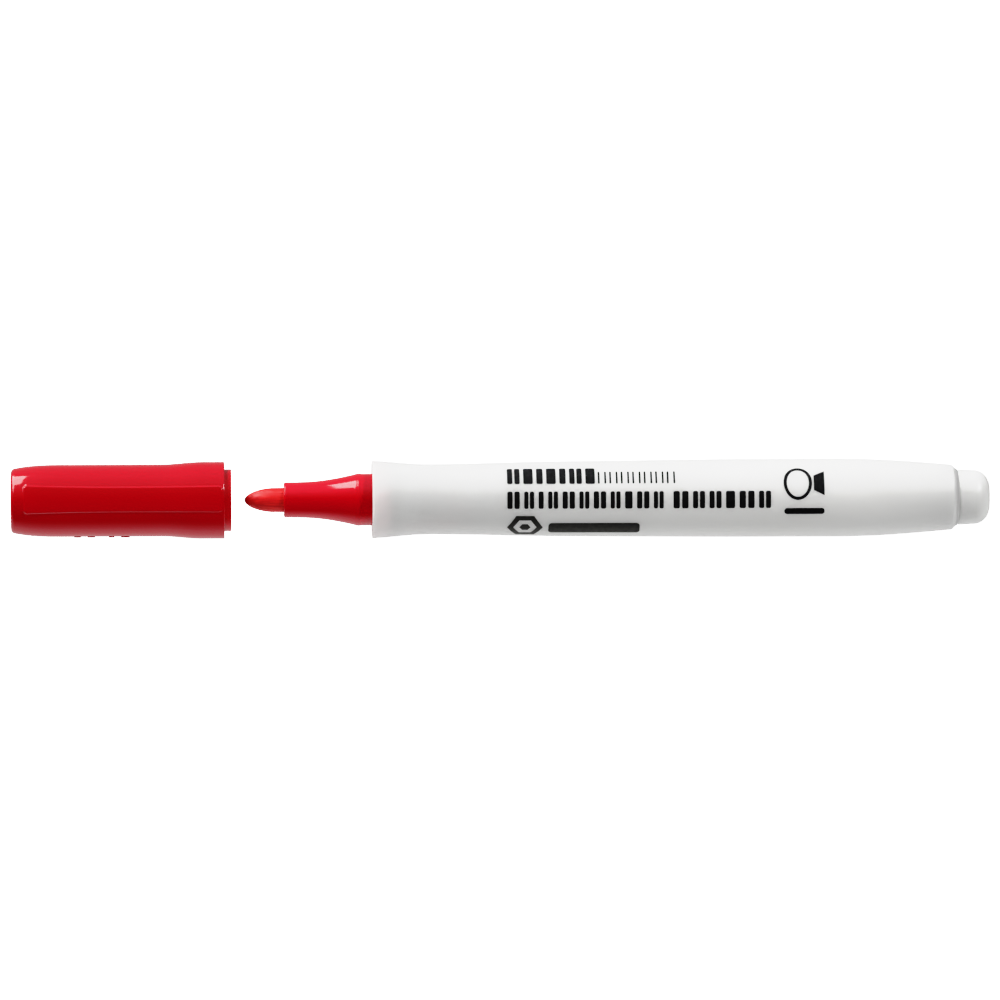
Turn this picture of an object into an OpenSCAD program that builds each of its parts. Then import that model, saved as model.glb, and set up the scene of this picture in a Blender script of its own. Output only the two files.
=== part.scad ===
// Slim whiteboard marker with its push-on cap pulled clear of the nib.
// X runs along the marker, from the crown of the cap (-X) to the tail plug (+X), and +Z is up.
// The origin is below the middle of the laid-out length, on the surface that the barrel lies on.

/* [Nib] */
// Diameter of the fibre nib
nib_d = 4; // [3.6:0.1:4.2]
// Length of nib that stands out of the nozzle
nib_exposed = 6.4; // [5.5:0.1:7]
// Length of the rounded nose at the writing end
nib_nose = 4.9; // [3:0.1:5.4]
// Depth that the nib reaches into the ink reservoir
nib_seat = 4; // [2:0.5:8]

/* [Front section] */
// Length of the red nozzle in front of the barrel's mouth
nozzle_length = 14.3; // [13:0.1:15]
// Diameter at the front of the nozzle
nozzle_tip_d = 5.7; // [5.4:0.1:6]
// Diameter of the sealing bead that the inner cap closes on
bead_d = 8.54; // [8.4:0.02:8.56]
// Distance of the sealing bead in front of the barrel's mouth
bead_at = 2.1; // [1.6:0.1:2.6]
// Length of the section's plug inside the barrel's bore
section_plug = 11.8; // [8:0.2:14]

/* [Barrel] */
// Length of the barrel tube
barrel_length = 95.3; // [92:0.1:110]
// Outer diameter at the mouth
mouth_d = 12.6; // [12.4:0.1:12.8]
// Outer diameter at the waist behind the mouth
waist_d = 11.4; // [11.2:0.1:11.8]
// Distance of the waist from the mouth
waist_at = 9.1; // [7:0.1:12]
// Outer diameter of the straight belly, where a holder grips
belly_d = 12.7; // [12.6:0.1:13.4]
// Distance of the belly's front end from the mouth
belly_at = 62; // [50:1:64]
// Length of the straight belly
belly_length = 14; // [8:1:14]
// Outer diameter at the rear edge
rear_d = 10.6; // [10.4:0.1:11]
// Diameter of the main bore
bore_d = 9.5; // [9.4:0.1:9.7]

/* [Tail plug] */
// Diameter of the tail plug near its rounded end
tail_d = 8.8; // [8.8:0.1:9.2]
// Length of plug that shows behind the barrel
tail_exposed = 5.3; // [4:0.1:8]
// Length of shank inside the barrel
tail_seat = 12; // [8:1:16]

/* [Cap] */
// Length of the cap's shell
cap_length = 34.6; // [33:0.1:38]
// Outer diameter of the flare at the cap's mouth
flare_d = 12.5; // [12.1:0.1:12.5]
// Outer diameter of the cap's straight middle
cap_d = 11.7; // [11.4:0.1:11.8]
// Width of each raised panel
panel_width = 4.06; // [3:0.02:5]
// Turn of the cap about the marker's axis, in degrees; below 0 lifts the panel on the -Y side
cap_turn = -5; // [-45:1:45]
// Outer diameter of the inner cap
liner_d = 10.1; // [10:0.02:10.12]
// Length of the inner cap's collar outside the shell
collar_length = 1.1; // [0.6:0.1:1.6]
// Gap between the cap's mouth and the barrel's mouth in this layout
cap_gap = 23.9; // [22.9:0.1:30]

/* [Hidden] */
$fn = 96;

red = [0.86, 0.09, 0.11];
white = [0.95, 0.95, 0.94];

// Radial clearances: bead in the inner cap, collar in the barrel's mouth, film in the ribs
bead_gap = 0.04;
collar_gap = 0.25;
rib_gap = 0.02;

// Steps that a smooth curve is drawn with
curve_steps = 8;
fine_steps = 6;

// Front section
nozzle_r = nozzle_tip_d / 2;
nozzle_edge = 0.25;
nozzle_slope = 0.01;
throat_at = 10.6;
throat_r = nozzle_r + 0.08;
throat_slope = 0.035;
bead_r = bead_d / 2;
bead_half = 0.45;
bead_height = 0.06;
land_r = bead_r - bead_height;
flank_r = land_r - 0.02;
flank_slope = 0.24;
flange_length = 1.4;
fin_width = 0.8;
fin_count = 4;
plug_wall = 1.25;
throat_bevel = 1;

// Nib: how full its nose is, and how closely the outline's points gather at its tip
nose_fullness = 1.85;
nose_gather = 1.6;
nose_steps = 10;

// Barrel: the cap's collar enters a wider mouth, and the section's flange sits on its floor
mouth_r = mouth_d / 2;
mouth_edge = 0.2;
mouth_slope = -0.05;
mouth_depth = 4.2;
mouth_bore_r = liner_d / 2 + collar_gap;
waist_r = waist_d / 2;
belly_r = belly_d / 2;
belly_end = belly_at + belly_length;
bore_r = bore_d / 2;
shoulder_at = waist_at + 21.5;
shoulder_r = waist_r + 0.6 * (belly_r - waist_r);
shoulder_slope = 0.0065;
rear_chamfer = 0.86;
rear_lip = 0.1;
rear_slope = -0.09;
rib_width = 0.7;
rib_count = 4;
rib_sink = 0.2;
rib_clear = 2;
rib_turn = 45;

// Tail plug and reservoir
tail_r = tail_d / 2;
seat_r = tail_r + 0.1;
tail_wall = 0.9;
tail_corner = 2.6;
tail_turn = 86;
tail_floor = 1.8;
tail_bevel = 1;
seat_front = barrel_length - tail_seat;
section_rear = mouth_depth + section_plug;
film_wall = 0.12;
film_r = bore_r - 0.4;
core_r = film_r - film_wall;
cavity_r = bore_r - plug_wall;

// Cap, drawn with its mouth at 0 and its crown towards -X
flare_r = flare_d / 2;
cap_r = cap_d / 2;
flare_land = 3.6;
flare_end = 10.2;
taper_from = 24;
crown_edge = 0.65;
crown_r = 4.65;
crown_slope = 0.2;
crown_wall = 1;
crown_bevel = 1.2;
step_at = 12;
step_bevel = 0.5;
step_sink = 0.1;
cap_bore_r = cap_r - 1.05;
cap_roof_r = cap_r - 2.2;
mouth_bevel = 0.15;
liner_r = liner_d / 2;
liner_bore_r = bead_r + bead_gap;
chamber_r = 3.3;
chamber_wall = 0.8;
chamber_end = nozzle_length + nib_exposed + 2.7;
liner_grip = 11;
liner_taper = 3;
liner_offset = 1;
liner_bevel = 0.12;
chamber_bevel = 0.8;
panel_from_mouth = 0.4;
panel_from_crown = 2.2;
panel_rise = 0.05;
panel_root = 0.5;
panel_flatter = 5.8;
panel_corner = 0.5;
panel_depth = 0.6;
panel_reach = 1;

// Place of the barrel's mouth, with the laid-out length centred on the origin
mouth_x = (cap_gap + cap_length - barrel_length - tail_exposed) / 2;

// Point at fraction u of a smooth cubic from a to b, each given as [x, r, slope]
function smooth(a, b, u) = [
    a[0] + (b[0] - a[0]) * u,
    a[1] * (1 - 3 * u * u + 2 * u * u * u)
        + b[1] * (3 * u * u - 2 * u * u * u)
        + (b[0] - a[0]) * (a[2] * (u - 2 * u * u + u * u * u) + b[2] * (u * u * u - u * u))
];

// Points of that cubic, without its last one
function run(a, b, steps = curve_steps) = [for (i = [0 : steps - 1]) smooth(a, b, i / steps)];

// Points of an arc about c, from angle a0 to a1, both ends included
function arc(c, r, a0, a1, steps = fine_steps) = [
    for (i = [0 : steps])
        let (a = a0 + (a1 - a0) * i / steps)
        [c[0] + r * cos(a), c[1] + r * sin(a)]
];

// Outer outline of the barrel
barrel_outline = concat(
    arc([mouth_edge, mouth_r - mouth_edge], mouth_edge, 180, 90, 3),
    run([mouth_edge * 1.5, mouth_r, mouth_slope], [waist_at, waist_r, 0]),
    run([waist_at, waist_r, 0], [shoulder_at, shoulder_r, shoulder_slope]),
    run([shoulder_at, shoulder_r, shoulder_slope], [belly_at, belly_r, 0], fine_steps),
    [[belly_at, belly_r]],
    run([belly_end, belly_r, 0], [barrel_length - rear_chamfer, rear_d / 2, rear_slope]),
    [[barrel_length - rear_chamfer, rear_d / 2], [barrel_length, seat_r + rear_lip]]
);

// Outer outline of the cap's shell, from the mouth to the crown
crown_x = crown_edge - cap_length;
cap_outline = concat(
    [[0, flare_r - mouth_bevel], [-mouth_bevel, flare_r]],
    run([-flare_land, flare_r, 0], [-flare_end, cap_r, 0]),
    run([-flare_end, cap_r, 0], [-taper_from, cap_r, 0], 1),
    run([-taper_from, cap_r, 0], [crown_x, crown_r + crown_edge, crown_slope]),
    arc([crown_x, crown_r], crown_edge, 90, 180)
);

// A body of revolution about X from an outline of [x, r] points
module turned(outline) {
    rotate([0, 90, 0])
        rotate_extrude()
            polygon([for (p = outline) [p[1], p[0]]]);
}

// Puts a part drawn from the barrel's mouth onto the marker's axis
module on_barrel() {
    translate([mouth_x, 0, belly_r])
        children();
}

// Puts a part drawn from the cap's mouth where the cap lies
module on_cap() {
    translate([mouth_x - cap_gap, 0, belly_r])
        rotate([cap_turn, 0, 0])
            children();
}

// Evenly spaced radial ribs, each a bar from the axis out to radius r
module ribs(count, width, r, from, to) {
    for (i = [0 : count - 1])
        rotate([i * 360 / count + rib_turn, 0, 0])
            translate([from, -width / 2, 0])
                cube([to - from, width, r]);
}

// White tube: wide mouth for the cap's collar, main bore, narrower rear seat for the tail plug
module barrel_tube() {
    bore_outline = [
        [barrel_length, seat_r],
        [seat_front, seat_r],
        [seat_front, bore_r],
        [mouth_depth, bore_r],
        [mouth_depth, mouth_bore_r],
        [0, mouth_bore_r]
    ];
    ribs_from = section_rear + rib_clear;
    ribs_to = seat_front - rib_clear;
    color(white)
        on_barrel()
            union() {
                turned(concat(barrel_outline, bore_outline));
                difference() {
                    ribs(rib_count, rib_width, bore_r + rib_sink, ribs_from, ribs_to);
                    rotate([0, 90, 0])
                        cylinder(r = film_r + rib_gap, h = barrel_length);
                }
            }
}

// White plug pressed into the rear of the tube; its hollow shank stops the reservoir
module end_plug() {
    tail_end = barrel_length + tail_exposed;
    corner = arc([tail_end - tail_corner, tail_r - tail_corner], tail_corner, 90, 90 - tail_turn);
    color(white)
        on_barrel()
            turned(concat(
                [[seat_front, tail_r - tail_wall], [seat_front, seat_r], [barrel_length, seat_r]],
                corner,
                [[tail_end, 0]],
                [[tail_end - tail_floor, 0], [tail_end - tail_floor, tail_r - tail_wall - tail_bevel]],
                [[tail_end - tail_floor - tail_bevel, tail_r - tail_wall]]
            ));
}

// Red nozzle: grips the nib, carries the sealing bead, and plugs into the barrel
module front_section() {
    flank_end = [-(bead_at + bead_half), flank_r, flank_slope];
    bead = [
        for (i = [0 : fine_steps])
            let (a = -180 + 360 * i / fine_steps)
            [-bead_at + bead_half * a / 180, land_r + bead_height * (1 + cos(a)) / 2]
    ];
    outline = concat(
        arc([nozzle_edge - nozzle_length, nozzle_r - nozzle_edge], nozzle_edge, 180, 90, 3),
        run([nozzle_edge * 2 - nozzle_length, nozzle_r, nozzle_slope], [-throat_at, throat_r, throat_slope], 3),
        run([-throat_at, throat_r, throat_slope], flank_end),
        bead,
        [[mouth_depth - flange_length, land_r], [mouth_depth - flange_length, mouth_bore_r]],
        [[mouth_depth, mouth_bore_r], [mouth_depth, bore_r]],
        [[section_rear, bore_r], [section_rear, cavity_r]],
        [[throat_bevel, cavity_r], [0, nib_d / 2], [-nozzle_length, nib_d / 2]]
    );
    color(red)
        on_barrel()
            union() {
                turned(outline);
                difference() {
                    ribs(fin_count, fin_width, cavity_r + rib_sink, mouth_depth, section_rear - rib_clear);
                    rotate([0, 90, 0])
                        cylinder(d = nib_d, h = section_rear);
                }
            }
}

// Bullet nib: a fibre rod from the writing point back into the reservoir
module nib() {
    tip_x = -nozzle_length - nib_exposed;
    nose = [
        for (i = [0 : nose_steps])
            let (u = pow(i / nose_steps, nose_gather))
            [tip_x + nib_nose * u, nib_d / 2 * pow(1 - pow(1 - u, nose_fullness), 1 / nose_fullness)]
    ];
    color(red)
        on_barrel()
            turned(concat(nose, [[section_rear + nib_seat, nib_d / 2], [section_rear + nib_seat, 0]]));
}

// Ink reservoir: a soft fibre rod with a pocket that the nib's rear end sits in
module reservoir_core() {
    color([0.75, 0.12, 0.14])
        on_barrel()
            turned([
                [section_rear, nib_d / 2],
                [section_rear, core_r],
                [seat_front, core_r],
                [seat_front, 0],
                [section_rear + nib_seat, 0],
                [section_rear + nib_seat, nib_d / 2]
            ]);
}

// Thin plastic film round the reservoir
module reservoir_film() {
    color([0.9, 0.9, 0.9])
        on_barrel()
            turned([
                [section_rear, core_r],
                [section_rear, film_r],
                [seat_front, film_r],
                [seat_front, core_r]
            ]);
}

// Ring with a panel's outer face: it follows the shell's outline, a little proud of it, but on a wider circle
module panel_ring() {
    face = [for (p = cap_outline) if (p[1] > cap_r - panel_depth) [p[0], p[1] + panel_rise + panel_flatter]];
    root = [for (i = [len(face) - 1 : -1 : 0]) [face[i][0], face[i][1] - panel_root - panel_rise]];
    translate([0, panel_flatter, 0])
        turned(concat(face, root));
}

// Plan of a panel, with its corners rounded, from the crown end to the mouth end
module panel_plan() {
    low = panel_from_crown - cap_length;
    length = -panel_from_mouth - low;
    translate([low, -panel_width / 2]) {
        translate([0, panel_corner])
            square([length, panel_width - 2 * panel_corner]);
        translate([panel_corner, 0])
            square([length - 2 * panel_corner, panel_width]);
        for (x = [panel_corner, length - panel_corner])
            for (y = [panel_corner, panel_width - panel_corner])
                translate([x, y])
                    circle(r = panel_corner);
    }
}

// One raised panel, flatter than the shell, on the side that faces -Y
module panel() {
    intersection() {
        panel_ring();
        rotate([90, 0, 0])
            linear_extrude(height = flare_r + panel_reach)
                panel_plan();
    }
}

// Red outer cap: flared mouth, two raised panels, rounded crown
module cap_shell() {
    inner = [
        [crown_wall - cap_length, 0],
        [crown_wall - cap_length, cap_roof_r],
        [crown_wall + crown_bevel - cap_length, cap_bore_r],
        [-(step_at + step_bevel), liner_r - step_sink],
        [-step_at, liner_r],
        [0, liner_r]
    ];
    color(red)
        on_cap()
            union() {
                turned(concat(cap_outline, [[-cap_length, 0]], inner));
                for (side = [0, 180])
                    rotate([side, 0, 0])
                        panel();
            }
}

// Inner cap: a closed cup that seals on the bead and keeps the nib from drying
module cap_liner() {
    outer = [
        [collar_length, liner_bore_r + mouth_bevel],
        [collar_length, liner_r - liner_bevel],
        [collar_length - liner_bevel, liner_r],
        [-liner_grip, liner_r],
        [-(liner_grip + liner_taper), chamber_r + chamber_wall],
        [-chamber_end, chamber_r + chamber_wall],
        [-(chamber_end + chamber_wall), chamber_r],
        [-(chamber_end + chamber_wall), 0]
    ];
    inner = [
        [-chamber_end, 0],
        [-chamber_end, chamber_r - chamber_bevel],
        [-(chamber_end - chamber_bevel), chamber_r],
        [-(liner_grip + liner_taper - liner_offset), chamber_r],
        [-(liner_grip + liner_offset - liner_taper), liner_bore_r],
        [collar_length - mouth_bevel, liner_bore_r]
    ];
    color(red)
        on_cap()
            turned(concat(outer, inner));
}

barrel_tube();
end_plug();
front_section();
nib();
reservoir_core();
reservoir_film();
cap_shell();
cap_liner();
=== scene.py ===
"""Looks of the whiteboard marker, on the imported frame: turned shells, raised panels, fibre nib and print."""

import math

import bmesh
import bpy
from mathutils import Matrix, Quaternion, Vector, noise


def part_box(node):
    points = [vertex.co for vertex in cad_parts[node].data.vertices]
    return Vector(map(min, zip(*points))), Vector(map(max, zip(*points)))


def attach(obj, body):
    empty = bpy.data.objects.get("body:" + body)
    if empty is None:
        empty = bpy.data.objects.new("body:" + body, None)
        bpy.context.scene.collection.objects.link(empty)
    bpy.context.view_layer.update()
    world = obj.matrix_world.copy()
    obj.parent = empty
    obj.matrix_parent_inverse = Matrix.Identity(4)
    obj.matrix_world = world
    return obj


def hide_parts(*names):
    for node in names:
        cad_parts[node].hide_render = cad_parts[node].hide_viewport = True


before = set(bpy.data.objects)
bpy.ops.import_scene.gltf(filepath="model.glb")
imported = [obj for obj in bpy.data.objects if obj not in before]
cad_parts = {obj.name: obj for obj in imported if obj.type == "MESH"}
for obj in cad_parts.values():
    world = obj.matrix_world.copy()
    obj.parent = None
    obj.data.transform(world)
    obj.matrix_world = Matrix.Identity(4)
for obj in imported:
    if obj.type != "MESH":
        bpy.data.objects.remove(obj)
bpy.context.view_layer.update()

MM = 0.001
TAU = 2 * math.pi
SEGMENTS = 192

# ---------------------------------------------------------------- places and sizes, from the frame

barrel_lo, barrel_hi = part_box("barrel_tube")
cap_lo, cap_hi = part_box("cap_shell")
tail_lo, tail_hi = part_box("end_plug")
nib_lo, nib_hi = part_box("nib")
section_lo, section_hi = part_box("front_section")
liner_lo, liner_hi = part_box("cap_liner")

AXIS_Z = (barrel_lo.z + barrel_hi.z) / 2
MOUTH_X = barrel_lo.x
CAP_X = cap_hi.x

# Lengths in millimetres, from the barrel's mouth or, on the cap, from the cap's mouth
BARREL_LENGTH = (barrel_hi.x - barrel_lo.x) / MM
CAP_LENGTH = (cap_hi.x - cap_lo.x) / MM
TAIL_END = (tail_hi.x - MOUTH_X) / MM
SEAT_FRONT = (tail_lo.x - MOUTH_X) / MM
NIB_TIP = (nib_lo.x - MOUTH_X) / MM
NIB_REAR = (nib_hi.x - MOUTH_X) / MM
NOZZLE_FRONT = (section_lo.x - MOUTH_X) / MM
SECTION_REAR = (section_hi.x - MOUTH_X) / MM
COLLAR_END = (liner_hi.x - CAP_X) / MM
LINER_END = (liner_lo.x - CAP_X) / MM

# Radii in millimetres, from the frame
BELLY_R = (barrel_hi.z - barrel_lo.z) / 2 / MM
NIB_R = (nib_hi.z - nib_lo.z) / 2 / MM
LINER_R = (liner_hi.z - liner_lo.z) / 2 / MM
SEAT_R = (tail_hi.z - tail_lo.z) / 2 / MM
FLANGE_R = (section_hi.z - section_lo.z) / 2 / MM
FLARE_R = (cap_hi.z - cap_lo.z) / 2 / MM

# Sizes in millimetres that the boxes don't hold, as the CAD part has them
MOUTH_R, WAIST_R, REAR_R, TAIL_R = 6.3, 5.7, 5.3, 4.4
WAIST_AT, SHOULDER_AT, BELLY_AT, BELLY_END = 9.1, 30.6, 62.0, 76.0
MOUTH_DEPTH, BORE_R = 4.2, 4.75
REAR_CHAMFER = 0.86
TAIL_WALL, TAIL_FLOOR, TAIL_CORNER = 0.9, 1.8, 2.6
NOZZLE_R, THROAT_R, THROAT_AT = 2.85, 2.93, 10.6
LAND_R, BEAD_HEIGHT, BEAD_HALF, BEAD_AT = 4.21, 0.06, 0.45, 2.1
FLANGE_FRONT, PLUG_WALL = 2.8, 1.25
NOSE_LENGTH, NOSE_FULLNESS = 4.9, 1.85
CAP_R, CAP_TOP, CAP_TOP_WALL = 5.85, 1.0, 1.05
FLARE_LAND, FLARE_END, TAPER_AT = 3.6, 10.2, 24.0
CAP_TURN = math.radians(5)
LINER_BORE_R, LINER_WALL, LINER_CHAMBER = 4.31, 0.8, 1.3


# ---------------------------------------------------------------- outlines

def smooth(a, b, u):
    """Point at fraction u of a smooth cubic from a to b, each given as (x, r, slope)."""
    h = b[0] - a[0]
    r = a[1] * (1 - 3 * u * u + 2 * u ** 3) + b[1] * (3 * u * u - 2 * u ** 3)
    r += h * (a[2] * (u - 2 * u * u + u ** 3) + b[2] * (u ** 3 - u * u))
    return (a[0] + h * u, r)


def run(a, b, steps):
    """Points of that cubic, without its last one."""
    return [smooth(a, b, i / steps) for i in range(steps)]


def arc(cx, cr, radius, a0, a1, steps=8):
    """Points of an arc about (cx, cr) between two angles in degrees, both ends included."""
    points = []
    for i in range(steps + 1):
        a = math.radians(a0 + (a1 - a0) * i / steps)
        points.append((cx + radius * math.cos(a), cr + radius * math.sin(a)))
    return points


# Places along the barrel and the cap that smooth cubics join, each as (x, r, slope)
BARREL_STATIONS = [
    (0.3, MOUTH_R, -0.05),
    (WAIST_AT, WAIST_R, 0.0),
    (SHOULDER_AT, WAIST_R + 0.6 * (BELLY_R - WAIST_R), 0.0065),
    (BELLY_AT, BELLY_R, 0.0),
    (BELLY_END, BELLY_R, 0.0),
    (BARREL_LENGTH - REAR_CHAMFER, REAR_R, -0.09),
]


def barrel_radius(x):
    """Outer radius of the barrel, x behind its mouth."""
    for a, b in zip(BARREL_STATIONS, BARREL_STATIONS[1:]):
        if x <= b[0]:
            return smooth(a, b, max(0.0, (x - a[0]) / (b[0] - a[0])))[1]
    return BARREL_STATIONS[-1][1]


# The crown's rounded edge starts at an angle, so that it runs on from the taper
CROWN_EDGE = 0.65
CROWN_R = 4.65
CROWN_SLOPE = 0.2
CROWN_START = math.radians(14)
# Shallow dish in the crown's end with the gate's small pip: (share of the crown's radius, depth)
CROWN_DISH = [(0.86, 0), (0.82, 0.05), (0.78, 0.08), (0.45, 0.09), (0.13, 0.09), (0.1, 0.07), (0.08, 0.03)]
CAP_STATIONS = [
    (-0.45, FLARE_R, 0.0),
    (-FLARE_LAND, FLARE_R, 0.0),
    (-FLARE_END, CAP_R, 0.0),
    (-TAPER_AT, CAP_R, 0.0),
    (CROWN_EDGE - CAP_LENGTH, CROWN_R + CROWN_EDGE, CROWN_SLOPE),
]


def cap_radius(x):
    """Outer radius of the cap's shell, x from its mouth and negative towards the crown."""
    for a, b in zip(CAP_STATIONS, CAP_STATIONS[1:]):
        if x >= b[0]:
            return smooth(a, b, min(1.0, max(0.0, (x - a[0]) / (b[0] - a[0]))))[1]
    depth = min(CROWN_EDGE, CAP_STATIONS[-1][0] - x) / CROWN_EDGE
    reach = math.sin(CROWN_START) + depth * (1 - math.sin(CROWN_START))
    return CROWN_R + CROWN_EDGE * math.sqrt(max(0.0, 1 - reach ** 2)) / math.cos(CROWN_START)


# ---------------------------------------------------------------- materials

def principled(name, colour, roughness, specular=0.5):
    """A material with its shader, and the values that are the same all over set on the shader itself."""
    material = bpy.data.materials.new(name)
    material.use_nodes = True
    tree = material.node_tree
    shader = tree.nodes["Principled BSDF"]
    shader.inputs["Base Color"].default_value = (*colour, 1)
    shader.inputs["Roughness"].default_value = roughness
    shader.inputs["Specular IOR Level"].default_value = specular
    coords = tree.nodes.new("ShaderNodeTexCoord")
    return material, tree, shader, coords.outputs["Object"]


def noise_node(tree, vector, scale, detail, along=None):
    """Noise over the object, from 0 to 1. A small share of the scale along the axis turns it into streaks."""
    if along is not None:
        mapping = tree.nodes.new("ShaderNodeMapping")
        mapping.inputs["Scale"].default_value = (along, 1, 1)
        tree.links.new(vector, mapping.inputs["Vector"])
        vector = mapping.outputs["Vector"]
    node = tree.nodes.new("ShaderNodeTexNoise")
    node.inputs["Scale"].default_value = scale
    node.inputs["Detail"].default_value = detail
    tree.links.new(vector, node.inputs["Vector"])
    return node.outputs["Fac"]


def spread(tree, value, low, high, from_low=0.3, from_high=0.7):
    """Maps a value from one range, or from the middle of a noise, to another."""
    node = tree.nodes.new("ShaderNodeMapRange")
    node.inputs["From Min"].default_value = from_low
    node.inputs["From Max"].default_value = from_high
    node.inputs["To Min"].default_value = low
    node.inputs["To Max"].default_value = high
    tree.links.new(value, node.inputs["Value"])
    return node.outputs["Result"]


def blend_colours(tree, factor, first, second):
    """Colour between two by a factor."""
    node = tree.nodes.new("ShaderNodeMix")
    node.data_type = "RGBA"
    tree.links.new(factor, node.inputs["Factor"])
    for socket, colour in (("A", first), ("B", second)):
        target = [s for s in node.inputs if s.name == socket and s.type == "RGBA"][0]
        if isinstance(colour, bpy.types.NodeSocket):
            tree.links.new(colour, target)
        else:
            target.default_value = (*colour, 1)
    return [s for s in node.outputs if s.type == "RGBA"][0]


def bump(tree, shader, height, strength, distance, under=None):
    """Adds a bump to the shader, over another bump if one is given."""
    node = tree.nodes.new("ShaderNodeBump")
    node.inputs["Strength"].default_value = strength
    node.inputs["Distance"].default_value = distance
    tree.links.new(height, node.inputs["Height"])
    if under is not None:
        tree.links.new(under, node.inputs["Normal"])
    tree.links.new(node.outputs["Normal"], shader.inputs["Normal"])
    return node.outputs["Normal"]


def moulded(name, colour, shade, roughness, specular=0.5, scuffs=0.05, milky=0.0):
    """Injection-moulded plastic: slow tone variation, polish that varies, faint flow lines and fine scuffs.
    A milky one lets light spread inside it."""
    material, tree, shader, vector = principled(name, colour, roughness, specular)
    if milky:
        shader.inputs["Subsurface Weight"].default_value = milky
        shader.inputs["Subsurface Radius"].default_value = (1, 1, 1)
        shader.inputs["Subsurface Scale"].default_value = 3 * MM
    tone = noise_node(tree, vector, scale=90, detail=2, along=0.35)
    tint = blend_colours(tree, spread(tree, tone, 0, 1), colour, shade)
    tree.links.new(tint, shader.inputs["Base Color"])
    scuff = noise_node(tree, vector, scale=900, detail=5, along=0.12)
    low, high = roughness - scuffs / 2, roughness + scuffs
    tree.links.new(spread(tree, scuff, low, high), shader.inputs["Roughness"])
    grain = noise_node(tree, vector, scale=2400, detail=2)
    grained = bump(tree, shader, grain, strength=0.1, distance=0.002 * MM)
    flow = noise_node(tree, vector, scale=220, detail=2, along=0.08)
    bump(tree, shader, flow, strength=0.2, distance=0.01 * MM, under=grained)
    return material


def fibre(name, colour, dark, dark_tip=None):
    """Bonded fibre soaked with ink, in strands along the axis; a dark tip is (from x, to x, colour), darkest
    at the first x and gone by the second.
    """
    material, tree, shader, vector = principled(name, colour, roughness=0.5, specular=0.6)
    strand = noise_node(tree, vector, scale=2600, detail=4, along=0.12)
    soaked = blend_colours(tree, spread(tree, strand, 0, 1), colour, dark)
    if dark_tip is not None:
        dark_from, dark_to, tip_colour = dark_tip
        split = tree.nodes.new("ShaderNodeSeparateXYZ")
        tree.links.new(vector, split.inputs["Vector"])
        near_tip = spread(tree, split.outputs["X"], 1, 0, dark_from, dark_to)
        soaked = blend_colours(tree, near_tip, soaked, tip_colour)
    tree.links.new(soaked, shader.inputs["Base Color"])
    tree.links.new(spread(tree, strand, 0.4, 0.6), shader.inputs["Roughness"])
    pores = noise_node(tree, vector, scale=7000, detail=2)
    pitted = bump(tree, shader, pores, strength=0.5, distance=0.03 * MM)
    bump(tree, shader, strand, strength=0.6, distance=0.06 * MM, under=pitted)
    return material


def ink(name, dark, light):
    """Screen-printed ink: a little uneven in gloss and density."""
    material, tree, shader, vector = principled(name, dark, roughness=0.4, specular=0.2)
    density = spread(tree, noise_node(tree, vector, scale=1500, detail=3), 0, 1)
    tree.links.new(blend_colours(tree, density, dark, light), shader.inputs["Base Color"])
    gloss = spread(tree, noise_node(tree, vector, scale=4000, detail=3), 0.35, 0.5)
    tree.links.new(gloss, shader.inputs["Roughness"])
    mesh_marks = noise_node(tree, vector, scale=6000, detail=2)
    bump(tree, shader, mesh_marks, strength=0.2, distance=0.004 * MM)
    return material


WHITE = moulded("white_plastic", (0.83, 0.83, 0.82), (0.80, 0.80, 0.785), 0.34, 0.4, milky=0.7)
TAIL_WHITE = moulded("tail_plastic", (0.82, 0.82, 0.81), (0.79, 0.79, 0.77), 0.30, 0.4, milky=0.7)
CAP_RED = moulded("cap_plastic", (0.545, 0.002, 0.018), (0.525, 0.0015, 0.016), 0.07, 0.55, 0.03)
SECTION_RED = moulded("section_plastic", (0.62, 0.002, 0.022), (0.60, 0.0015, 0.02), 0.06, 0.6, 0.03)
LINER_RED = moulded("liner_plastic", (0.66, 0.002, 0.02), (0.62, 0.0015, 0.018), 0.16)
INK = ink("printed_ink", (0.009, 0.009, 0.010), (0.022, 0.022, 0.023))
GREY_INK = ink("printed_grey", (0.045, 0.045, 0.042), (0.06, 0.06, 0.056))
# The nib's colour darkens over its last 0.9 mm towards the tip
DARK_TIP = (nib_lo.x, nib_lo.x + 0.9 * MM, (0.42, 0.0, 0.004))
NIB_FIBRE = fibre("nib_fibre", (0.84, 0.03, 0.03), (0.62, 0.004, 0.01), DARK_TIP)
CORE_FIBRE = fibre("core_fibre", (0.60, 0.05, 0.05), (0.42, 0.02, 0.02))
FILM = moulded("film_plastic", (0.80, 0.76, 0.76), (0.76, 0.70, 0.70), 0.28)


# ---------------------------------------------------------------- building meshes

def make_piece(name, bm, body, material, replaced=()):
    """Makes an object of a mesh, shades it smooth, and ties it to its body."""
    bmesh.ops.recalc_face_normals(bm, faces=bm.faces)
    mesh = bpy.data.meshes.new(name)
    bm.to_mesh(mesh)
    bm.free()
    for polygon in mesh.polygons:
        polygon.use_smooth = True
    mesh.materials.append(material)
    piece = bpy.data.objects.new(name, mesh)
    bpy.context.scene.collection.objects.link(piece)
    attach(piece, body)
    if replaced:
        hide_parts(*replaced)
    return piece


def skin(bm, rings, closed):
    """Faces between rings of vertices, of which some may be one vertex. A closed skin joins its two ends."""
    pairs = list(zip(rings, rings[1:]))
    if closed:
        pairs.append((rings[-1], rings[0]))
    for first, second in pairs:
        count = max(len(first), len(second))
        for i in range(count):
            j = (i + 1) % count
            corners = [first[i % len(first)], first[j % len(first)]]
            corners += [second[j % len(second)], second[i % len(second)]]
            bm.faces.new(list(dict.fromkeys(corners)))


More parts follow.
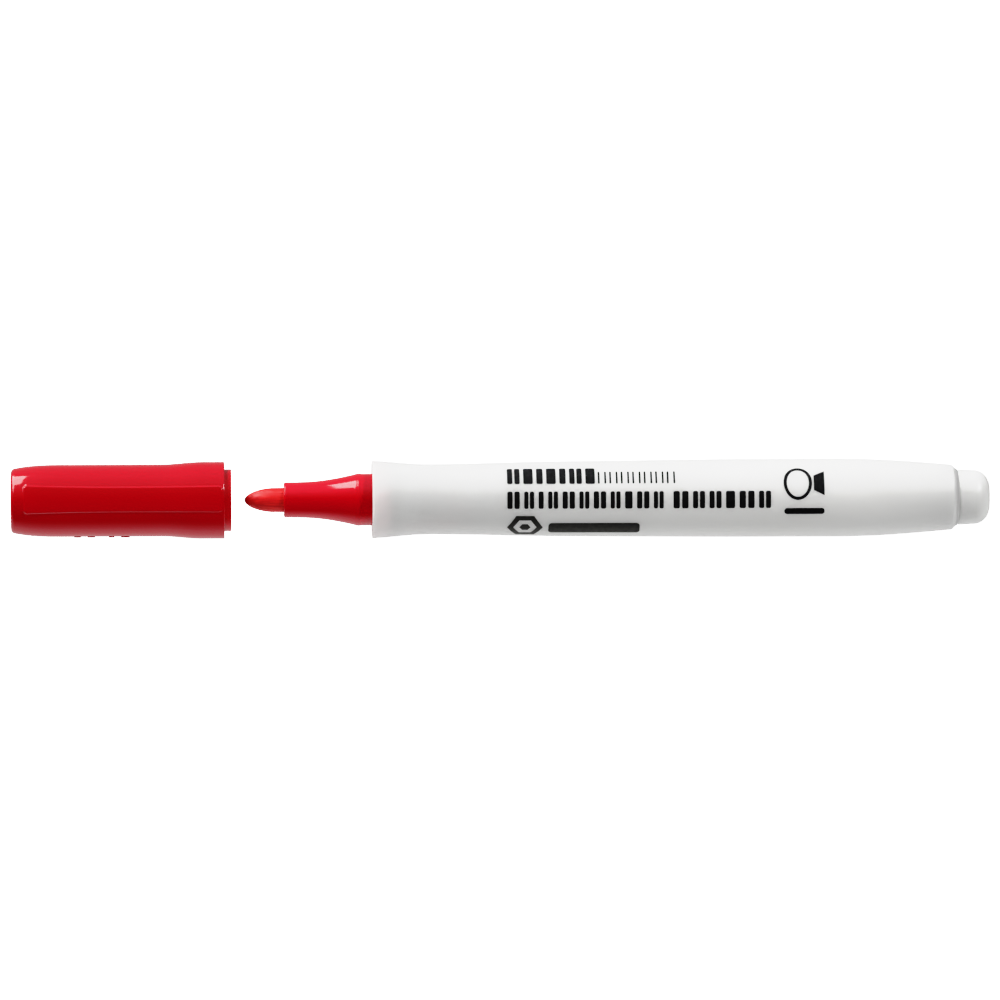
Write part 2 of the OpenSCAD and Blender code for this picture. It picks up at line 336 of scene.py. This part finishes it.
def turned(outline, origin_x, ripple=None):
    """A closed body of revolution about the marker's axis from an outline of (x, r) points in millimetres.
    An outline that starts and ends on the axis closes there, and any other closes on itself."""
    bm = bmesh.new()
    rings = []
    for x, r in outline:
        if r == 0:
            rings.append([bm.verts.new((origin_x + x * MM, 0, AXIS_Z))])
            continue
        ring = []
        for i in range(SEGMENTS):
            a = TAU * i / SEGMENTS
            radius = (r + (ripple(x, r, a) if ripple else 0)) * MM
            place = (origin_x + x * MM, radius * math.cos(a), AXIS_Z + radius * math.sin(a))
            ring.append(bm.verts.new(place))
        rings.append(ring)
    skin(bm, rings, closed=len(rings[0]) > 1)
    return bm


def turned_cup(outline, origin_x):
    """A closed turned cup. Its outline goes from the rim to the outer pole, then from the inner pole back."""
    inner_pole = [i for i, p in enumerate(outline) if p[1] == 0][1]
    return turned(outline[inner_pole:] + outline[:inner_pole], origin_x)


# ---------------------------------------------------------------- barrel and tail

def barrel():
    """Tube with a rounded mouth edge, a softened rear chamfer and a bore for the section and the plug."""
    edge, softened, step = 0.18, 0.25, 1.2
    outer = arc(edge, MOUTH_R - edge, edge, 180, 95)
    for a, b in zip(BARREL_STATIONS, BARREL_STATIONS[1:]):
        outer += run(a, b, max(6, int((b[0] - a[0]) / step)))
    rear = BARREL_LENGTH - REAR_CHAMFER
    outer = [p for p in outer if p[0] < rear - softened]
    outer += [smooth(BARREL_STATIONS[-2], BARREL_STATIONS[-1], 0.99)]
    outer += [(rear, REAR_R - 0.035), (rear + 0.09, REAR_R - 0.1), (rear + 0.3, REAR_R - 0.3)]
    outer += [(rear + 0.6, REAR_R - 0.58), (BARREL_LENGTH - 0.06, SEAT_R + 0.13)]
    outer += [(BARREL_LENGTH, SEAT_R + 0.07)]
    inner = [
        (BARREL_LENGTH, SEAT_R),
        (SEAT_FRONT, SEAT_R),
        (SEAT_FRONT, BORE_R),
        (MOUTH_DEPTH, BORE_R),
        (MOUTH_DEPTH, FLANGE_R),
        (0.15, FLANGE_R),
        (0.04, FLANGE_R + 0.04),
        (0, FLANGE_R + 0.15),
    ]
    make_piece("barrel", turned(outer + inner, MOUTH_X), "barrel", WHITE, ["barrel_tube"])


def tail():
    """Plug with a fine groove where it meets the barrel, a full rounded corner and a slightly domed end."""
    flat = TAIL_END - TAIL_CORNER
    groove = SEAT_R - 0.08
    bore = TAIL_R - TAIL_WALL
    outline = [
        (SEAT_FRONT, bore),
        (SEAT_FRONT, SEAT_R - 0.1),
        (SEAT_FRONT + 0.1, SEAT_R),
        (BARREL_LENGTH - 0.16, SEAT_R),
        (BARREL_LENGTH - 0.10, groove),
        (BARREL_LENGTH + 0.12, groove),
        (BARREL_LENGTH + 0.2, SEAT_R - 0.02),
    ]
    outline += run((BARREL_LENGTH + 0.24, SEAT_R, -0.02), (flat, TAIL_R, -0.05), 8)
    for i in range(21):
        a = math.radians(3 + 4 * i)
        outline.append((flat + (TAIL_CORNER - 0.03) * math.sin(a), TAIL_R - TAIL_CORNER * (1 - math.cos(a))))
    last_x, last_r = outline[-1]
    for i in range(1, 12):
        dome = math.sin(math.radians(7.5 * i))
        outline.append((last_x + (TAIL_END - last_x) * dome, last_r * (1 - i / 12)))
    floor = TAIL_END - TAIL_FLOOR
    outline += [(TAIL_END, 0), (floor, 0), (floor, bore - 1), (floor - 1, bore)]
    make_piece("tail_plug", turned_cup(outline, MOUTH_X), "barrel", TAIL_WHITE, ["end_plug"])


# ---------------------------------------------------------------- front section and nib

def front_section():
    """Red nozzle with a rounded front edge, a hollow flank, the sealing bead and the flange in the barrel."""
    edge = 0.25
    throat = (-THROAT_AT, THROAT_R, 0.035)
    outline = arc(NOZZLE_FRONT + edge, NOZZLE_R - edge, edge, 180, 92)
    outline += run((NOZZLE_FRONT + 0.4, NOZZLE_R, 0.015), throat, 10)
    outline += run(throat, (-BEAD_AT - BEAD_HALF, LAND_R - 0.02, 0.24), 28)
    for i in range(17):
        a = -math.pi + TAU * i / 16
        outline.append((-BEAD_AT + BEAD_HALF * a / math.pi, LAND_R + BEAD_HEIGHT * (1 + math.cos(a)) / 2))
    outline += [(-1.2, LAND_R), (0, LAND_R), (FLANGE_FRONT - 0.2, LAND_R), (FLANGE_FRONT, LAND_R + 0.2)]
    outline += [(FLANGE_FRONT, FLANGE_R - 0.05), (FLANGE_FRONT + 0.05, FLANGE_R)]
    outline += [(MOUTH_DEPTH, FLANGE_R), (MOUTH_DEPTH, BORE_R), (SECTION_REAR, BORE_R)]
    outline += [(SECTION_REAR, BORE_R - PLUG_WALL), (1, BORE_R - PLUG_WALL), (0, NIB_R)]
    outline += [(NOZZLE_FRONT + 0.12, NIB_R), (NOZZLE_FRONT + 0.03, NIB_R + 0.03)]
    outline += [(NOZZLE_FRONT, NIB_R + 0.12)]
    make_piece("nozzle", turned(outline, MOUTH_X), "barrel", SECTION_RED, ["front_section"])


def strands(x, r, a):
    """Height of the nib's surface over its outline: fine strands and slow lumps, fading at the tip."""
    if x > NOZZLE_FRONT:
        return 0
    fine = noise.noise(Vector((math.cos(a) * 14, math.sin(a) * 14, x * 1.2))) - 0.6
    slow = noise.noise(Vector((math.cos(a) * 2, math.sin(a) * 2, x * 0.9 + 7))) - 0.5
    return 0.016 * min(1, r / 1.2) * fine + 0.02 * min(1, r) * slow


def nib():
    """Bullet nib with a slightly uneven nose; its outline's points gather at the tip."""
    steps = 44
    outline = []
    for i in range(steps + 1):
        u = (i / steps) ** 2
        radius = NIB_R * (1 - (1 - u) ** NOSE_FULLNESS) ** (1 / NOSE_FULLNESS)
        outline.append((NIB_TIP + NOSE_LENGTH * u, radius))
    outline += [(NIB_TIP + NOSE_LENGTH + 0.25 * i, NIB_R) for i in range(1, 12)]
    outline += [(0, NIB_R), (NIB_REAR, NIB_R), (NIB_REAR, 0)]
    make_piece("bullet_nib", turned(outline, MOUTH_X, strands), "barrel", NIB_FIBRE, ["nib"])


# ---------------------------------------------------------------- cap

# A panel's half width fans out by a little at each end. Its face is an ellipse across, flatter than the body
PANEL_HALF = 1.96
PANEL_FAN_CROWN, PANEL_FAN_MOUTH = 0.3, 0.1
PANEL_FROM_MOUTH, PANEL_FROM_CROWN = 0.4, 2.2
PANEL_CORNER = 0.5
PANEL_WALL = 0.42
PANEL_RISE = 0.05
PANEL_FLATTER = 5.8
PANEL_REACH = math.radians(40)


def panel_share(x, across):
    """How far a point of the cap belongs to a panel, from 0 on the round body to 1 on the flat."""
    low, high = PANEL_FROM_CROWN - CAP_LENGTH, -PANEL_FROM_MOUTH
    middle, half = (low + high) / 2, (high - low) / 2
    fan = PANEL_FAN_MOUTH if x > middle else PANEL_FAN_CROWN
    width = PANEL_HALF + fan * ((x - middle) / half) ** 2
    dx = abs(x - middle) - (half - PANEL_CORNER)
    dz = abs(across) - (width - PANEL_CORNER)
    outside = math.hypot(max(dx, 0), max(dz, 0)) + min(max(dx, dz), 0) - PANEL_CORNER
    u = min(1.0, max(0.0, outside / PANEL_WALL + 0.35))
    return 1 - u * u * (3 - 2 * u)


def cap_surface(x, a):
    """Radius of the cap at an angle from a panel's middle: a round body with flatter panels raised on it."""
    body = cap_radius(x)
    from_panel = math.remainder(a, math.pi)
    if abs(from_panel) > PANEL_REACH or x < -CAP_LENGTH + 0.9:
        return body
    wide = body + PANEL_RISE + PANEL_FLATTER
    across, along = math.sin(from_panel), math.cos(from_panel)
    face = math.sqrt(wide ** 2 - (PANEL_FLATTER * across) ** 2) - PANEL_FLATTER * along
    share = panel_share(x, face * across)
    return body + (face - body) * share


def cap_angles():
    """Angles round the cap: a quarter and its mirror images, close together at the panels' edges."""
    heights = [0.25 * i for i in range(6)] + [1.5 + 0.035 * i for i in range(33)]
    quarter = [math.degrees(math.atan2(height, CAP_R)) for height in heights]
    quarter += [27 + 3 * i for i in range(22)]
    half = quarter[:-1] + [180 - q for q in reversed(quarter)]
    whole = half[:-1] + [180 + q for q in half[:-1]]
    return [math.radians(q) for q in whole]


def cap_rows():
    """Places along the cap for the outer skin, close together at the ends of the panels and at the crown."""
    rows = [-0.12, -0.2, -0.28]
    stretches = ((-0.32, 0.035, 26), (-1.3, 0.4, 24), (-11, 1, 14), (-25, 0.4, 15), (-31, 0.04, 48))
    for start, step, count in stretches:
        rows += [start - step * i for i in range(count)]
    top = CAP_STATIONS[-1][0]
    rows = [x for x in rows if x > top + 0.02]
    return rows + [top - CROWN_EDGE * math.sin(math.radians(90 * i / 16)) for i in range(17)]


def cap_shell():
    """Outer cap with flared mouth, raised panels with filleted edges and a rounded crown."""
    angles = cap_angles()
    inner = [
        (CAP_TOP - CAP_LENGTH, 0),
        (CAP_TOP - CAP_LENGTH, CAP_R - 2.2),
        (CAP_TOP + 1.2 - CAP_LENGTH, CAP_R - CAP_TOP_WALL),
        (-12.5, LINER_R - 0.1),
        (-12, LINER_R),
        (-0.02, LINER_R),
        (0, LINER_R + 0.04),
        (0, FLARE_R - 0.2),
        (-0.03, FLARE_R - 0.08),
    ]
    bm = bmesh.new()
    rings = []

    def place(x, r, a):
        turn = a - CAP_TURN
        return bm.verts.new((CAP_X + x * MM, -r * MM * math.cos(turn), AXIS_Z - r * MM * math.sin(turn)))

    for x, r in inner:
        rings.append([place(x, 0, 0)] if r == 0 else [place(x, r, a) for a in angles])
    for x in cap_rows():
        rings.append([place(x, cap_surface(x, a), a) for a in angles])
    for share, sink in CROWN_DISH:
        rings.append([place(sink - CAP_LENGTH, CROWN_R * share, a) for a in angles])
    rings.append([place(CROWN_DISH[-1][1] - CAP_LENGTH, 0, 0)])
    skin(bm, rings, closed=False)
    make_piece("cap", bm, "cap", CAP_RED, ["cap_shell"])


def cap_liner():
    """Inner cap with a softened collar edge; its cup closes round the nib."""
    chamber = NIB_R + LINER_CHAMBER
    floor = LINER_END + LINER_WALL
    outline = [(LINER_END, 0), (LINER_END, chamber), (floor, chamber + LINER_WALL)]
    outline += [(-14, chamber + LINER_WALL), (-11, LINER_R), (0.02, LINER_R)]
    outline += arc(COLLAR_END - 0.15, LINER_R - 0.15, 0.15, 90, 0)
    outline += arc(COLLAR_END - 0.1, LINER_BORE_R + 0.1, 0.1, 0, -90)
    outline += [(-9, LINER_BORE_R), (-13, chamber), (floor + 0.8, chamber)]
    outline += [(floor, chamber - 0.8), (floor, 0)]
    make_piece("inner_cap", turned(outline, CAP_X), "cap", LINER_RED, ["cap_liner"])


# ---------------------------------------------------------------- print marks

# A mark is made of flat faces of (x, t) points: x behind the mouth, t round the barrel from its front upwards
INK_LIFT, INK_DEPTH = 0.012, 0.02
# Faces are cut this often round and along, so that they follow the barrel
CUT_ROUND, CUT_ALONG = 0.25, 1.0
# From this relative width, a bar of a word is a pair
WIDE = 4


def loop_of_bar(x0, x1, t0, t1, radius, steps=6):
    """Bar with rounded corners."""
    left, right, low, high = x0 + radius, x1 - radius, t0 + radius, t1 - radius
    loop = []
    for cx, ct, start in ((right, high, 0), (left, high, 90), (left, low, 180), (right, low, 270)):
        loop += arc(cx, ct, radius, start, start + 90, steps)
    return loop


def loop_of_disc(cx, ct, rx, rt, steps=64):
    """Oval, or a polygon with a few steps."""
    return [(cx + rx * math.cos(TAU * i / steps), ct + rt * math.sin(TAU * i / steps)) for i in range(steps)]


def between(outer, inner):
    """Faces between two loops of the same count."""
    count = len(outer)
    return [[outer[i], outer[(i + 1) % count], inner[(i + 1) % count], inner[i]] for i in range(count)]


def wrap(name, faces, material, middle=0.0, lift=INK_LIFT, body="barrel"):
    """Lays flat faces round the barrel or the cap as a thin layer, with t = 0 at an angle from the front."""
    origin_x, radius = (CAP_X, cap_radius) if body == "cap" else (MOUTH_X, barrel_radius)
    bm = bmesh.new()
    verts = {}
    for face in faces:
        corners = []
        for x, t in face:
            key = (round(x, 4), round(t, 4))
            if key not in verts:
                verts[key] = bm.verts.new((x, t, 0))
            corners.append(verts[key])
        if len(set(corners)) > 2:
            bm.faces.new(list(dict.fromkeys(corners)))
    for axis, step in ((1, CUT_ROUND), (0, CUT_ALONG)):
        normal = Vector((axis == 0, axis == 1, 0))
        low = min(v.co[axis] for v in bm.verts)
        high = max(v.co[axis] for v in bm.verts)
        for k in range(int(low / step) - 1, int(high / step) + 2):
            if low < k * step < high:
                whole = bm.verts[:] + bm.edges[:] + bm.faces[:]
                place = normal * k * step
                bmesh.ops.bisect_plane(bm, geom=whole, dist=1e-5, plane_co=place, plane_no=normal)
    flat = list(bm.faces)
    under = {v: bm.verts.new(v.co) for v in list(bm.verts)}
    rim = [e for e in bm.edges if len(e.link_faces) == 1]
    for face in flat:
        bm.faces.new([under[v] for v in reversed(face.verts)])
    for edge in rim:
        a, b = edge.verts
        bm.faces.new([a, b, under[b], under[a]])
    bottom = set(under.values())
    for v in bm.verts:
        x, t = v.co.x, v.co.y
        surface = radius(x)
        a = t / surface + middle
        r = (surface + (-INK_DEPTH if v in bottom else lift)) * MM
        v.co = Vector((origin_x + x * MM, -r * math.cos(a), AXIS_Z + r * math.sin(a)))
    piece = make_piece(name, bm, body, material)
    for polygon in piece.data.polygons:
        polygon.use_smooth = False


def word(x0, x1, t0, t1, widths, gap, radius, solid=0.42):
    """Bars of the given relative widths that fill a stretch, as a plain stand-in for a printed word.
    A wide one is a pair of bars, each a share of its width."""
    unit = (x1 - x0 - gap * (len(widths) - 1)) / sum(widths)
    faces, x = [], x0
    for w in widths:
        if w < WIDE:
            faces.append(loop_of_bar(x, x + w * unit, t0, t1, radius))
        else:
            faces.append(loop_of_bar(x, x + w * unit * solid, t0, t1, radius))
            faces.append(loop_of_bar(x + w * unit * (1 - solid), x + w * unit, t0, t1, radius))
        x += w * unit + gap
    return faces


def print_marks():
    """Plain marks where a marker carries its print: rows of bars, a badge, a bar, and a ring with a block."""
    left, bold_low, bold_high = 21.8, -1.3, 1.5
    bold_a, bold_b = [5, 4, 2, 4, 5, 4, 5, 4, 3, 5, 4], [5, 4, 4, 3, 5, 4]
    wrap("print_row_small", word(left, 36.0, 2.8, 6.0, [4, 3, 2, 3, 2, 4, 3], 0.6, 0.25), INK)
    wrap("print_row_thin", word(36.5, 49, 2.85, 5.15, [WIDE] * 7, 0.55, 0.1, solid=0.2), INK)
    wrap("print_row_bold_a", word(left, 47.1, bold_low, bold_high, bold_a, 0.75, 0.25), INK)
    wrap("print_row_bold_b", word(48.7, 64.5, bold_low, bold_high, bold_b, 0.75, 0.25), INK)
    rim, hole, pip = [loop_of_disc(24.7, -4.9, rx, rt, 6) for rx, rt in ((2.9, 2.7), (1.9, 1.75), (0.9, 0.8))]
    wrap("print_badge", between(rim, hole) + [pip], GREY_INK)
    wrap("print_bar", [loop_of_bar(28.5, 43.3, -6.4, -3.95, 0.6)], GREY_INK)
    rim, hole = [loop_of_disc(68.9, 2.87, rx, rt) for rx, rt in ((2.3, 2.87), (1.8, 2.37))]
    wrap("print_ring", between(rim, hole), INK)
    wrap("print_block", [[(71.5, 1.6), (73.2, 0.75), (73.2, 5.0), (71.5, 4.15)]], INK)
    wrap("print_stroke", [loop_of_bar(66.7, 73.2, -2.35, -1.35, 0.45)], INK)


def cap_relief():
    """Low raised bars along the cap's underside, where such a cap has moulded relief."""
    underside, height = math.radians(-92), 0.13
    for i, (x0, x1) in enumerate(((-24.4, -23.3), (-22.2, -21.0), (-18.8, -17.9), (-16.8, -15.4))):
        bar = [loop_of_bar(x0, x1, -1.1, 1.1, 0.3)]
        wrap("cap_bar_%d" % i, bar, CAP_RED, underside, height, "cap")


# ---------------------------------------------------------------- inner pieces

def inner_pieces():
    """The reservoir and its film keep their CAD meshes and get procedural materials."""
    for node, material in (("reservoir_core", CORE_FIBRE), ("reservoir_film", FILM)):
        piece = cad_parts[node]
        piece.data.materials.clear()
        piece.data.materials.append(material)


# ---------------------------------------------------------------- stage, light, camera

# Brightness of the paper and of the surroundings as the camera sees them, past plain white
PAPER_WHITE = 2.2
# Radius of the floor in metres
FLOOR_R = 4


def stage_floor():
    """Wide pale floor, bright enough to read as plain white paper."""
    material, tree, shader, vector = principled("floor_paper", (0.9, 0.9, 0.9), roughness=0.9, specular=0.1)
    tone = spread(tree, noise_node(tree, vector, scale=6, detail=2), 0, 1)
    tint = blend_colours(tree, tone, (0.92, 0.92, 0.915), (0.90, 0.90, 0.895))
    tree.links.new(tint, shader.inputs["Base Color"])
    shader.inputs["Emission Color"].default_value = (1, 1, 1, 1)
    shader.inputs["Emission Strength"].default_value = PAPER_WHITE
    bm = bmesh.new()
    bmesh.ops.create_circle(bm, cap_ends=True, segments=64, radius=FLOOR_R)
    mesh = bpy.data.meshes.new("floor")
    bm.to_mesh(mesh)
    bm.free()
    mesh.materials.append(material)
    floor = bpy.data.objects.new("floor", mesh)
    bpy.context.scene.collection.objects.link(floor)
    floor.location.z = barrel_lo.z
    for ray in ("diffuse", "glossy", "shadow"):
        setattr(floor, "visible_" + ray, False)


# Brightness of the surroundings at angles round the marker's axis: 0 is the camera's side, 90 is above
SEEN_GLOSS = [(-180, 0.8), (-143, 0.95), (-120, 1.15), (-103, 1.15), (-83, 0.65), (-73, 0.15), (-63, 0.0),
              (10, 0.0), (20, 0.15), (37, 0.5), (57, 0.9), (87, 0.95), (117, 0.7), (137, 0.5), (180, 0.5)]
SEEN_MATTE = [(-180, 0.1), (-150, 0.4), (-120, 0.9), (-90, 1.0), (-60, 0.78), (-30, 0.6), (0, 0.36),
              (30, 0.13), (60, 0.05), (90, 0.0), (180, 0.0)]
BRIGHTEST = 1.25


def ramp(tree, factor, stops):
    """Grey ramp over the angles, divided by the brightest value so that it stays within 1."""
    node = tree.nodes.new("ShaderNodeValToRGB")
    elements = node.color_ramp.elements
    while len(elements) < len(stops):
        elements.new(0.5)
    for element, (angle, value) in zip(elements, stops):
        element.position = (angle + 180) / 360
        element.color = (*[value / BRIGHTEST] * 3, 1)
    tree.links.new(factor, node.inputs["Fac"])
    return node.outputs["Color"]


def world_light():
    """Studio surroundings: white above, behind and below the marker, dark in front of it."""
    world = bpy.data.worlds.new("studio")
    bpy.context.scene.world = world
    world.use_nodes = True
    tree = world.node_tree
    background = tree.nodes["Background"]
    background.inputs["Strength"].default_value = BRIGHTEST
    coords = tree.nodes.new("ShaderNodeTexCoord")
    split = tree.nodes.new("ShaderNodeSeparateXYZ")
    tree.links.new(coords.outputs["Generated"], split.inputs["Vector"])
    front = tree.nodes.new("ShaderNodeMath")
    front.operation = "MULTIPLY"
    front.inputs[1].default_value = -1
    tree.links.new(split.outputs["Y"], front.inputs[0])
    angle = tree.nodes.new("ShaderNodeMath")
    angle.operation = "ARCTAN2"
    tree.links.new(split.outputs["Z"], angle.inputs[0])
    tree.links.new(front.outputs[0], angle.inputs[1])
    turn = spread(tree, angle.outputs[0], 0, 1, -math.pi, math.pi)
    path = tree.nodes.new("ShaderNodeLightPath")
    matte, gloss = ramp(tree, turn, SEEN_MATTE), ramp(tree, turn, SEEN_GLOSS)
    seen = blend_colours(tree, path.outputs["Is Glossy Ray"], matte, gloss)
    seen = blend_colours(tree, path.outputs["Is Camera Ray"], seen, (PAPER_WHITE, PAPER_WHITE, PAPER_WHITE))
    tree.links.new(seen, background.inputs["Color"])


def lamp(name, energy, place, across, along):
    """Rectangular lamp with its middle at a place and its sides along two vectors, in watts and metres."""
    data = bpy.data.lights.new(name, "AREA")
    data.energy = energy
    data.shape = "RECTANGLE"
    data.size, data.size_y = across.length, along.length
    light = bpy.data.objects.new(name, data)
    bpy.context.scene.collection.objects.link(light)
    side = across.normalized()
    back = side.cross(along).normalized()
    light.matrix_world = Matrix((side, back.cross(side), back)).transposed().to_4x4()
    light.location = place
    light.visible_camera = False


def lights():
    """A large softbox on the left and a small lamp in front on the right, both mirrored in the gloss."""
    lamp("softbox", 113, (-0.975, -0.329, 2.085), Vector((0.214, -0.308, 2.51)), Vector((0.315, 1.69, -0.34)))
    lamp("side_lamp", 12.2, (0.86, -0.79, 0.94), Vector((0.25, 0, -0.23)), Vector((0.1, 0.32, 0.11)))


def camera():
    """Long lens, a little above the marker's level, with the marker's rear end slightly further off."""
    distance, turn, rise, roll = 1.25, math.radians(2.34), math.radians(3), math.radians(-0.122)
    target = Vector((MOUTH_X + 20.836 * MM, 0, AXIS_Z - 0.15 * MM))
    back = Vector((-math.sin(turn) * math.cos(rise), -math.cos(turn) * math.cos(rise), math.sin(rise)))
    data = bpy.data.cameras.new("camera")
    data.sensor_width = 36
    data.lens = 276.9
    data.clip_start, data.clip_end = 0.01, 20
    view = bpy.data.objects.new("camera", data)
    bpy.context.scene.collection.objects.link(view)
    view.location = target + back * distance
    view.rotation_mode = "QUATERNION"
    view.rotation_quaternion = (-back).to_track_quat("-Z", "Y") @ Quaternion((0, 0, 1), roll)
    bpy.context.scene.camera = view


# Film tone: light in the scene against light in the picture
TONE = [(0, 0), (0.04, 0.01), (0.08, 0.04), (0.2, 0.16), (0.7, 0.66), (0.86, 0.82), (1, 0.87),
        (1.22, 0.913), (1.5, 0.94), (2, 1)]


def film():
    """Tone that keeps the plastic's colours and lets the paper burn out to plain white."""
    settings = bpy.context.scene.view_settings
    settings.view_transform = "Standard"
    settings.use_curve_mapping = True
    mapping = settings.curve_mapping
    top = TONE[-1][0]
    mapping.white_level = (top, top, top)
    curve = mapping.curves[3]
    while len(curve.points) < len(TONE):
        curve.points.new(0.5, 0.5)
    for point, (scene_light, shown) in zip(curve.points, TONE):
        point.location = (scene_light / top, shown)
        point.handle_type = "AUTO_CLAMPED"
    mapping.update()


barrel()
tail()
front_section()
nib()
cap_shell()
cap_liner()
print_marks()
cap_relief()
inner_pieces()
stage_floor()
world_light()
lights()
camera()
film()
